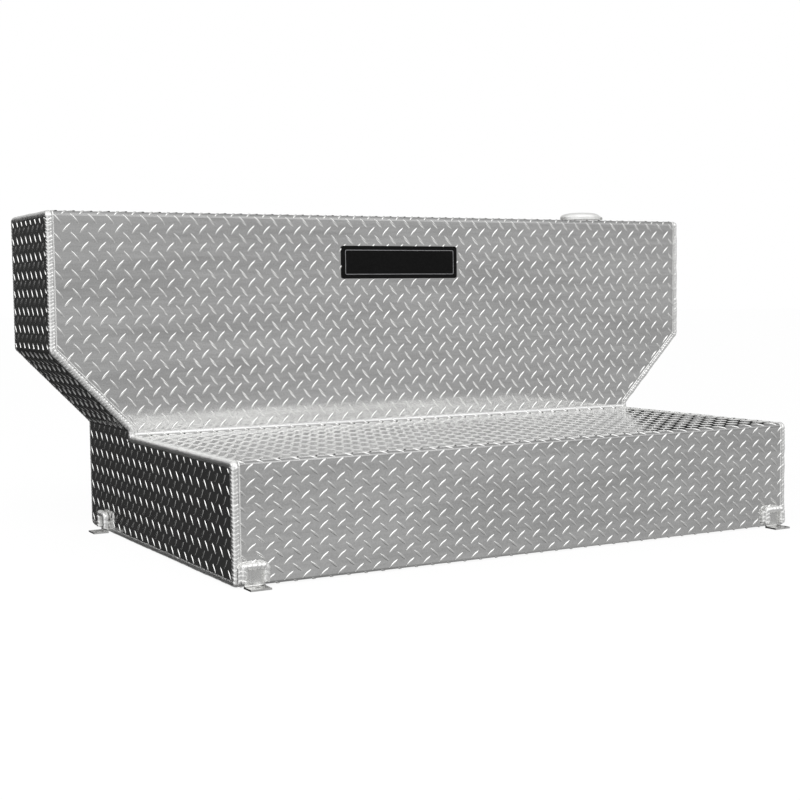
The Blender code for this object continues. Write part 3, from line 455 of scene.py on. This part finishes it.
SEAM, SEAM_RADIUS, TOE, TOE_RADIUS, TOE_SINK, LIFT = 0.0072, 0.0076, 0.0132, 0.0016, 0.0007, 0.404
for name, side in (("left", -1), ("right", 1)):
    low_x, high_x, lift = side * (side_x - SEAM), side * (wing_x - SEAM), LIFT * SEAM
    front, riser, back = front_y + SEAM, riser_y + SEAM, back_y - SEAM
    path = [((low_x, front, floor_z + SEAM), 0.002), ((low_x, front, deck_z - SEAM), 0.002),
            ((low_x, riser, deck_z - SEAM), 0.012), ((low_x, riser, bend_z + lift), 0.012),
            ((high_x, riser, wing_z + lift), 0.003), ((high_x, riser, top_z - SEAM), 0.003),
            ((high_x, back, top_z - SEAM), 0.003), ((high_x, back, wing_z + lift), 0.003),
            ((low_x, back, bend_z + lift), 0.012), ((low_x, back, floor_z + SEAM), 0.007)]
    # the wash of the weld's toe on the wrap, a thin bright line beside the bead
    low_x, high_x, lift = side * (side_x - TOE), side * (wing_x - TOE), LIFT * TOE
    front, riser, back = front_y + TOE_SINK, riser_y + TOE_SINK, back_y - EDGE
    toe = [((low_x, front, floor_z + SEAM), 0), ((low_x, front, deck_z - TOE_SINK), 0.0075),
           ((low_x, riser, deck_z - TOE_SINK), 0.0085), ((low_x, riser, bend_z + lift), 0.008),
           ((high_x, riser, wing_z + lift), 0.006), ((high_x, riser, top_z - TOE_SINK), 0.0085),
           ((high_x, back, top_z - TOE_SINK), 0)]
    runs = [bead_on(path, SEAM_RADIUS, True), bead_on(toe, TOE_RADIUS, False, depth=0.0, wander=0.35)]
    add_piece(f"{name}_seam_bead", runs, "tank", "weld", f"{name}_seam_weld")
for name, radius in (("top", 0.0056), ("floor", 0.0038)):
    low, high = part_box(f"{name}_seam_weld")
    ends = [((x, (low.y + high.y) / 2, (low.z + high.z) / 2), 0) for x in (low.x, high.x)]
    add_piece(f"{name}_seam_bead", [bead_on(ends, radius, False)], "tank", "weld", f"{name}_seam_weld")

# Feet. Short lengths of aluminium angle, sawn and drilled, carry the tank and bolt it down. A blobby
# bead goes up one side of each, across its top and down the other side.
FOOT_BRIGHT, FOOT_DULL = (0.84, 0.84, 0.83), (0.62, 0.62, 0.61)
FOOT_BEAD, FOOT_RUN, FOOT_LAP, RUN_INSET, RUN_SHIFT = 0.0058, 0.0052, 0.0028, 0.003, 0.006
FOOT_POOLS = {"pool": 0.0084, "depth": 0.22, "wander": 0.40}
foot_metal = rolled_metal("foot_angle", FOOT_BRIGHT, FOOT_DULL, (0.22, 0.34), (160, 160, 30), 0.0002)
finish_nodes(foot_metal, "front_left_foot", "front_right_foot", "rear_left_foot", "rear_right_foot")
for corner, out in (
        ("front_left", (0, -1)), ("front_right", (0, -1)), ("rear_left", (-1, 0)), ("rear_right", (1, 0))):
    low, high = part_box(f"{corner}_foot_weld")
    middle = (low + high) / 2 + Vector((*out, 0)) * FOOT_LAP / 2
    half = max(high.x - low.x, high.y - low.y) / 2 - FOOT_BEAD - FOOT_LAP
    along = Vector((-out[1], out[0], 0))
    inward = Vector((-out[0], -out[1], 0)) * RUN_INSET
    top = high.z - FOOT_BEAD

    def at(shift, z, base=middle):
        return (base + along * shift).xy.to_3d() + Vector((0, 0, z))

    path = [(at(-half, low.z + FOOT_BEAD / 2), 0), (at(-half, top), 0.004), (at(half, top), 0.004),
            (at(half, low.z + FOOT_BEAD / 2), 0)]
    # a second run widens the bead on one side
    aside = -half - RUN_SHIFT
    run = [(at(aside, low.z + FOOT_RUN, middle + inward), 0), (at(aside, top, middle + inward), 0)]
    runs = [bead_on(path, FOOT_BEAD, False, **FOOT_POOLS), bead_on(run, FOOT_RUN, False, **FOOT_POOLS)]
    add_piece(f"{corner}_foot_bead", runs, "tank", "weld", f"{corner}_foot_weld")

# Name plate. A black enamelled plate with a thin silver frame line is stuck to the riser, and is left
# bare inside the line. The enamel is smooth and glossy, with fine dust.
enamel = bpy.data.materials.new("black_enamel")
enamel.use_nodes = True
tree = enamel.node_tree
place = node(tree, "ShaderNodeTexCoord").outputs["Object"]
dust = node(tree, "ShaderNodeTexNoise", {"Vector": place, "Scale": 420.0, "Detail": 5.0, "Roughness": 0.7})
haze = node(tree, "ShaderNodeValToRGB", {"Fac": dust.outputs["Fac"]})
ramp = haze.color_ramp.elements
ramp[0].position, ramp[0].color = 0.45, (0.0015, 0.0015, 0.0015, 1)
ramp[1].position, ramp[1].color = 0.80, (0.008, 0.008, 0.008, 1)
wipe = node(tree, "ShaderNodeMapRange", {"Value": dust.outputs["Fac"], "To Min": 0.38, "To Max": 0.55})
tree.links.new(haze.outputs["Color"], tree.nodes["Principled BSDF"].inputs["Base Color"])
tree.links.new(wipe.outputs["Result"], tree.nodes["Principled BSDF"].inputs["Roughness"])
tree.nodes["Principled BSDF"].inputs["Specular IOR Level"].default_value = 0.10
finish_nodes(enamel, "name_plate")

FRAME_INSET, FRAME_LINE, FRAME_RISE, FRAME_CORNER = 0.0085, 0.0013, 0.0002, 0.0030
low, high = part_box("name_plate")


def rounded_oblong(inset, corner, steps=5):
    """Points round an oblong on the plate's face, drawn in from its edge."""
    for cx, cz, start in ((1, 1, 0), (-1, 1, 90), (-1, -1, 180), (1, -1, 270)):
        x = (high.x if cx > 0 else low.x) - cx * (inset + corner)
        z = (high.z if cz > 0 else low.z) - cz * (inset + corner)
        for step in range(steps + 1):
            angle = math.radians(start + 90 * step / steps)
            yield x + corner * math.cos(angle), z + corner * math.sin(angle)


ring = bmesh.new()
outer = list(rounded_oblong(FRAME_INSET, FRAME_CORNER))
inner = list(rounded_oblong(FRAME_INSET + FRAME_LINE, FRAME_CORNER - FRAME_LINE))
rows = [[ring.verts.new((x, y, z)) for x, z in line] for line, y in (
    (outer, low.y + FRAME_RISE), (outer, low.y - FRAME_RISE),
    (inner, low.y - FRAME_RISE), (inner, low.y + FRAME_RISE))]
for one, two in zip(rows, rows[1:] + rows[:1]):
    for index in range(len(one)):
        after = (index + 1) % len(one)
        ring.faces.new((one[index], two[index], two[after], one[after]))
bmesh.ops.recalc_face_normals(ring, faces=ring.faces)
frame_line = bpy.data.meshes.new("frame_line")
ring.to_mesh(frame_line)
ring.free()
SILVER_BRIGHT, SILVER_DULL = (0.42, 0.42, 0.43), (0.30, 0.30, 0.31)
frame_line.materials.append(rolled_metal(
    "frame_line_silver", SILVER_BRIGHT, SILVER_DULL, (0.35, 0.5), (300, 300, 300), 0.0001))
add_piece("name_plate_frame_line", [frame_line], "tank", "plain")

# Filler. A welded neck stands through the top sheet under a cast flange, which six screws hold down on
# a rubber gasket. The domed lid is a bright satin casting, hinged on a pin at its right.
CAST_BRIGHT, CAST_DULL = (0.97, 0.97, 0.96), (0.88, 0.88, 0.87)
ZINC_BRIGHT, ZINC_DULL = (0.62, 0.62, 0.60), (0.46, 0.47, 0.46)
cast_metal = rolled_metal("polished_casting", CAST_BRIGHT, CAST_DULL, (0.46, 0.58), (140, 140, 140), 0.0002)
zinc_metal = rolled_metal("zinc_plate", ZINC_BRIGHT, ZINC_DULL, (0.26, 0.42), (200, 200, 200), 0.0002)
finish_nodes(plate_metal, "filler_neck")
finish_nodes(cast_metal, "filler_flange")
finish_nodes(zinc_metal, "hinge_pin", *(f"flange_screw_{number}" for number in range(1, 7)))

black_rubber = bpy.data.materials.new("black_rubber")
black_rubber.use_nodes = True
tree = black_rubber.node_tree
place = node(tree, "ShaderNodeTexCoord").outputs["Object"]
pores = node(tree, "ShaderNodeTexNoise", {"Vector": place, "Scale": 900.0, "Detail": 4.0})
shade = node(tree, "ShaderNodeValToRGB", {"Fac": pores.outputs["Fac"]})
ramp = shade.color_ramp.elements
ramp[0].color, ramp[1].color = (0.012, 0.012, 0.012, 1), (0.035, 0.035, 0.035, 1)
skin = node(tree, "ShaderNodeBump", {"Height": pores.outputs["Fac"], "Strength": 0.5, "Distance": 0.0002})
tree.links.new(shade.outputs["Color"], tree.nodes["Principled BSDF"].inputs["Base Color"])
tree.links.new(skin.outputs["Normal"], tree.nodes["Principled BSDF"].inputs["Normal"])
tree.nodes["Principled BSDF"].inputs["Roughness"].default_value = 0.7
finish_nodes(black_rubber, "flange_gasket", "lid_seal")

LID_RADIUS, LID_WALL, LID_TOP, LID_BORE = 0.048, 0.003, 0.0035, 0.0093
LID_SHOULDER, LID_RIM, CROWN_FLAT, CEILING_FLAT = 0.014, 0.0006, 0.022, 0.0283
LID_TURNS, DOME_TURNS = 96, 14
lid_low, lid_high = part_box("filler_lid")
shoulder, crown = top_z + LID_SHOULDER, lid_high.z
ceiling, inner_radius = crown - LID_TOP, LID_RADIUS - LID_WALL


def dome(flat, radius, top, step):
    """A point of a dome's section, on the way from its flat middle to its shoulder."""
    angle = math.pi / 2 * step / DOME_TURNS
    return flat + (radius - flat) * math.sin(angle), shoulder + (top - shoulder) * math.cos(angle)


profile = [(LID_BORE, crown)]
profile += [dome(CROWN_FLAT, LID_RADIUS, crown, step) for step in range(DOME_TURNS + 1)]
profile += [(LID_RADIUS, lid_low.z + LID_RIM), (LID_RADIUS - LID_RIM, lid_low.z), (inner_radius, lid_low.z)]
profile += [dome(CEILING_FLAT, inner_radius, ceiling, step) for step in range(DOME_TURNS, -1, -1)]
profile.append((LID_BORE, ceiling))
lid = bmesh.new()
rings = []
for turn in range(LID_TURNS):
    angle = 2 * math.pi * turn / LID_TURNS
    c, s = math.cos(angle), math.sin(angle)
    rings.append([lid.verts.new((filler.x + r * c, filler.y + r * s, z)) for r, z in profile])
for turn in range(LID_TURNS):
    one, two = rings[turn], rings[(turn + 1) % LID_TURNS]
    for index in range(len(profile)):
        after = (index + 1) % len(profile)
        lid.faces.new((one[index], one[after], two[after], two[index]))
bmesh.ops.recalc_face_normals(lid, faces=lid.faces)
KNUCKLE, KNUCKLE_HALF, PIN_BORE, KNUCKLE_TURNS = 0.0045, 0.0070, 0.0023, 24
KNUCKLE_ROOT = ((-0.0070, -0.0044), (-0.0028, -0.0034), (-0.0028, 0.0034), (-0.0070, 0.0044))
hinge = Vector(frame["joints"][0]["pos_m"])
knuckle = bmesh.new()
angles = [2 * math.pi * step / KNUCKLE_TURNS for step in range(KNUCKLE_TURNS)]
around = [(math.cos(angle), math.sin(angle)) for angle in angles]
loops = [[knuckle.verts.new((hinge.x + r * c, hinge.y + y, hinge.z + r * s)) for c, s in around] for r, y in (
    (PIN_BORE, -KNUCKLE_HALF), (KNUCKLE, -KNUCKLE_HALF), (KNUCKLE, KNUCKLE_HALF), (PIN_BORE, KNUCKLE_HALF))]
for one, two in zip(loops, loops[1:] + loops[:1]):
    for index in range(KNUCKLE_TURNS):
        after = (index + 1) % KNUCKLE_TURNS
        knuckle.faces.new((one[index], one[after], two[after], two[index]))
sides = [[knuckle.verts.new((hinge.x + x, hinge.y + y, hinge.z + z)) for x, z in KNUCKLE_ROOT]
         for y in (-KNUCKLE_HALF, KNUCKLE_HALF)]
knuckle.faces.new(sides[0])
knuckle.faces.new(sides[1][::-1])
for index in range(len(KNUCKLE_ROOT)):
    after = (index + 1) % len(KNUCKLE_ROOT)
    knuckle.faces.new((sides[0][index], sides[0][after], sides[1][after], sides[1][index]))
bmesh.ops.recalc_face_normals(knuckle, faces=knuckle.faces)
lid_meshes = []
for shape in (lid, knuckle):
    mesh = bpy.data.meshes.new("lid_shape")
    shape.to_mesh(mesh)
    shape.free()
    mesh.materials.append(cast_metal)
    mesh.shade_smooth()
    mesh.set_sharp_from_angle(angle=math.radians(40))
    lid_meshes.append(mesh)
add_piece("filler_lid_dome", lid_meshes, "lid", "cast", "filler_lid")

# Lid lock. A zinc-plated key cylinder turns in the lid's middle, and its cam, held by a nut, catches
# under the lip of the neck.
finish_nodes(zinc_metal, "lock_cylinder", "lock_cam", "cam_nut")

# Ports. Threaded aluminium bosses are welded through the sheets: a plugged pump port and a brass vent
# on the top, and a brass drain plug low on the right end.
BRASS_BRIGHT, BRASS_DULL = (0.66, 0.48, 0.20), (0.48, 0.34, 0.14)
PORT_STEPS, PORT_POOL = 48, 0.0042
brass_metal = rolled_metal("brass", BRASS_BRIGHT, BRASS_DULL, (0.22, 0.40), (180, 180, 180), 0.0002)
finish_nodes(plate_metal, "pump_port_bung", "vent_bung", "drain_bung")
finish_nodes(zinc_metal, "pump_port_plug")
finish_nodes(brass_metal, "vent_valve", "drain_plug")
for port in ("pump_port", "vent", "drain"):
    low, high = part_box(f"{port}_weld")
    middle, size = (low + high) / 2, high - low
    bead_radius = min(size) / 2
    circle = max(size) / 2 - bead_radius
    upright = size.z < size.x
    loop = []
    for step in range(PORT_STEPS):
        angle = 2 * math.pi * step / PORT_STEPS
        first, second = circle * math.cos(angle), circle * math.sin(angle)
        loop.append((middle + Vector((first, second, 0) if upright else (0, first, second)), 0))
    add_piece(f"{port}_bead", [bead_on(loop, bead_radius, True, PORT_POOL)], "tank", "weld", f"{port}_weld")

# Studio. A plain floor and backdrop, which the camera sees as white, and two soft lamps are left out of
# the metal's mirror image, which shows a soft world with bright and dark patches instead. The camera
# stands at the photograph's place.
FLOOR_HALF, FLOOR_CHALK, FLOOR_GLOW = 40.0, 0.92, 0.92
floor_mesh = bpy.data.meshes.new("studio_floor")
floor_mesh.from_pydata([(x * FLOOR_HALF, y * FLOOR_HALF, 0) for x, y in ((-1, -1), (1, -1), (1, 1), (-1, 1))],
                       [], [(0, 1, 2, 3)])
studio_floor = bpy.data.objects.new("studio_floor", floor_mesh)
bpy.context.scene.collection.objects.link(studio_floor)
pale = bpy.data.materials.new("pale_floor")
pale.use_nodes = True
tree = pale.node_tree
tree.nodes.remove(tree.nodes["Principled BSDF"])
seen = node(tree, "ShaderNodeLightPath").outputs
rays = sum_in(tree, "MAXIMUM", seen["Is Camera Ray"], seen["Is Glossy Ray"])
rays = sum_in(tree, "MAXIMUM", rays, seen["Is Transmission Ray"])
chalk = node(tree, "ShaderNodeBsdfDiffuse", {"Color": (FLOOR_CHALK, FLOOR_CHALK, FLOOR_CHALK, 1)})
glow = node(tree, "ShaderNodeEmission", {"Color": (1, 1, 1, 1), "Strength": 1.0})
lit = node(tree, "ShaderNodeMixShader", {
    0: sum_in(tree, "MULTIPLY", rays, FLOOR_GLOW), 1: chalk.outputs[0], 2: glow.outputs[0]})
tree.links.new(lit.outputs[0], tree.nodes["Material Output"].inputs["Surface"])
floor_mesh.materials.append(pale)
wall = bmesh.new()
wall_radius = FLOOR_HALF - 1
bmesh.ops.create_cone(wall, segments=96, radius1=wall_radius, radius2=wall_radius, depth=2 * FLOOR_HALF)
wall_mesh = bpy.data.meshes.new("studio_backdrop")
wall.to_mesh(wall_mesh)
wall.free()
studio_backdrop = bpy.data.objects.new("studio_backdrop", wall_mesh)
bpy.context.scene.collection.objects.link(studio_backdrop)
white = bpy.data.materials.new("white_backdrop")
white.use_nodes = True
tree = white.node_tree
tree.nodes.remove(tree.nodes["Principled BSDF"])
glow = node(tree, "ShaderNodeEmission", {"Color": (1, 1, 1, 1), "Strength": 1.0})
tree.links.new(glow.outputs[0], tree.nodes["Material Output"].inputs["Surface"])
wall_mesh.materials.append(white)
studio_backdrop.visible_diffuse = studio_backdrop.visible_shadow = False
for stand in (studio_floor, studio_backdrop):
    stand.visible_glossy = False

world = bpy.data.worlds.new("soft_studio")
bpy.context.scene.world = world
world.use_nodes = True
tree = world.node_tree
looking = node(tree, "ShaderNodeTexCoord").outputs["Generated"]


def lobe(direction, inner, outer):
    """How far a direction of the world lies inside a soft round patch, from 0 to 1."""
    toward = Vector(direction).normalized()
    facing = node(tree, "ShaderNodeVectorMath", {0: looking, 1: toward}, operation="DOT_PRODUCT")
    soft = node(tree, "ShaderNodeMapRange", {
        "Value": facing.outputs["Value"], "From Min": math.cos(math.radians(outer)),
        "From Max": math.cos(math.radians(inner))}, interpolation_type="SMOOTHSTEP")
    return soft.outputs["Result"]


# each patch: its direction, full within and gone beyond these angles in degrees, and its strength
BRIGHT_PATCHES = (
    ((0, 0, 1), 10, 58, 0.45), ((-0.315, -0.626, 0.685), 14, 34, 1.1), ((-0.80, 0.30, 0.55), 8, 22, 1.6),
    ((0.924, 0, 0.354), 14, 36, 0.2), ((-0.91, -0.41, 0), 16, 32, 0.6), ((0.433, -0.736, 0.52), 10, 27, 1.4))
DARK_PATCHES = (
    ((-0.649, 0.721, -0.242), 32, 42, 0.92), ((0.05, 0.96, -0.276), 12, 22, 0.95),
    ((0.66, 0.75, 0.07), 14, 22, 0.97), ((0.0, 0.0, -1.0), 14, 46, 0.75))
level, dark = 0.47, 0.0
for direction, inner, outer, gain in BRIGHT_PATCHES:
    level = sum_in(tree, "MULTIPLY_ADD", lobe(direction, inner, outer), gain, level)
for direction, inner, outer, depth in DARK_PATCHES:
    dark = sum_in(tree, "MAXIMUM", dark, sum_in(tree, "MULTIPLY", lobe(direction, inner, outer), depth))
dim = sum_in(tree, "SUBTRACT", 1.0, dark)
background = tree.nodes["Background"]
background.inputs["Color"].default_value = (1, 1, 1, 1)
tree.links.new(sum_in(tree, "MULTIPLY", level, dim), background.inputs["Strength"])

LAMP_AIM = Vector((0, 0, 0.3))
for name, where, size, power in (
        ("key_lamp", (-1.5, -2.6, 2.8), 1.6, 40.0), ("side_lamp", (-2.8, 1.0, 1.8), 1.2, 15.0)):
    lamp = bpy.data.lights.new(name, "AREA")
    lamp.size, lamp.energy = size, power
    stand = bpy.data.objects.new(name, lamp)
    stand.location = where
    stand.visible_glossy = False
    stand.rotation_euler = (LAMP_AIM - Vector(where)).to_track_quat("-Z", "Y").to_euler()
    bpy.context.scene.collection.objects.link(stand)

lens = bpy.data.cameras.new("photo_camera")
lens.lens, lens.sensor_width = 64.54, 36.0
camera = bpy.data.objects.new("photo_camera", lens)
camera.location = (-1.4957, -2.5672, 0.4819)
camera.rotation_euler = [math.radians(angle) for angle in (85.8386, 0.6666, -28.8892)]
bpy.context.scene.collection.objects.link(camera)
bpy.context.scene.camera = camera
bpy.context.scene.view_settings.view_transform = "Standard"
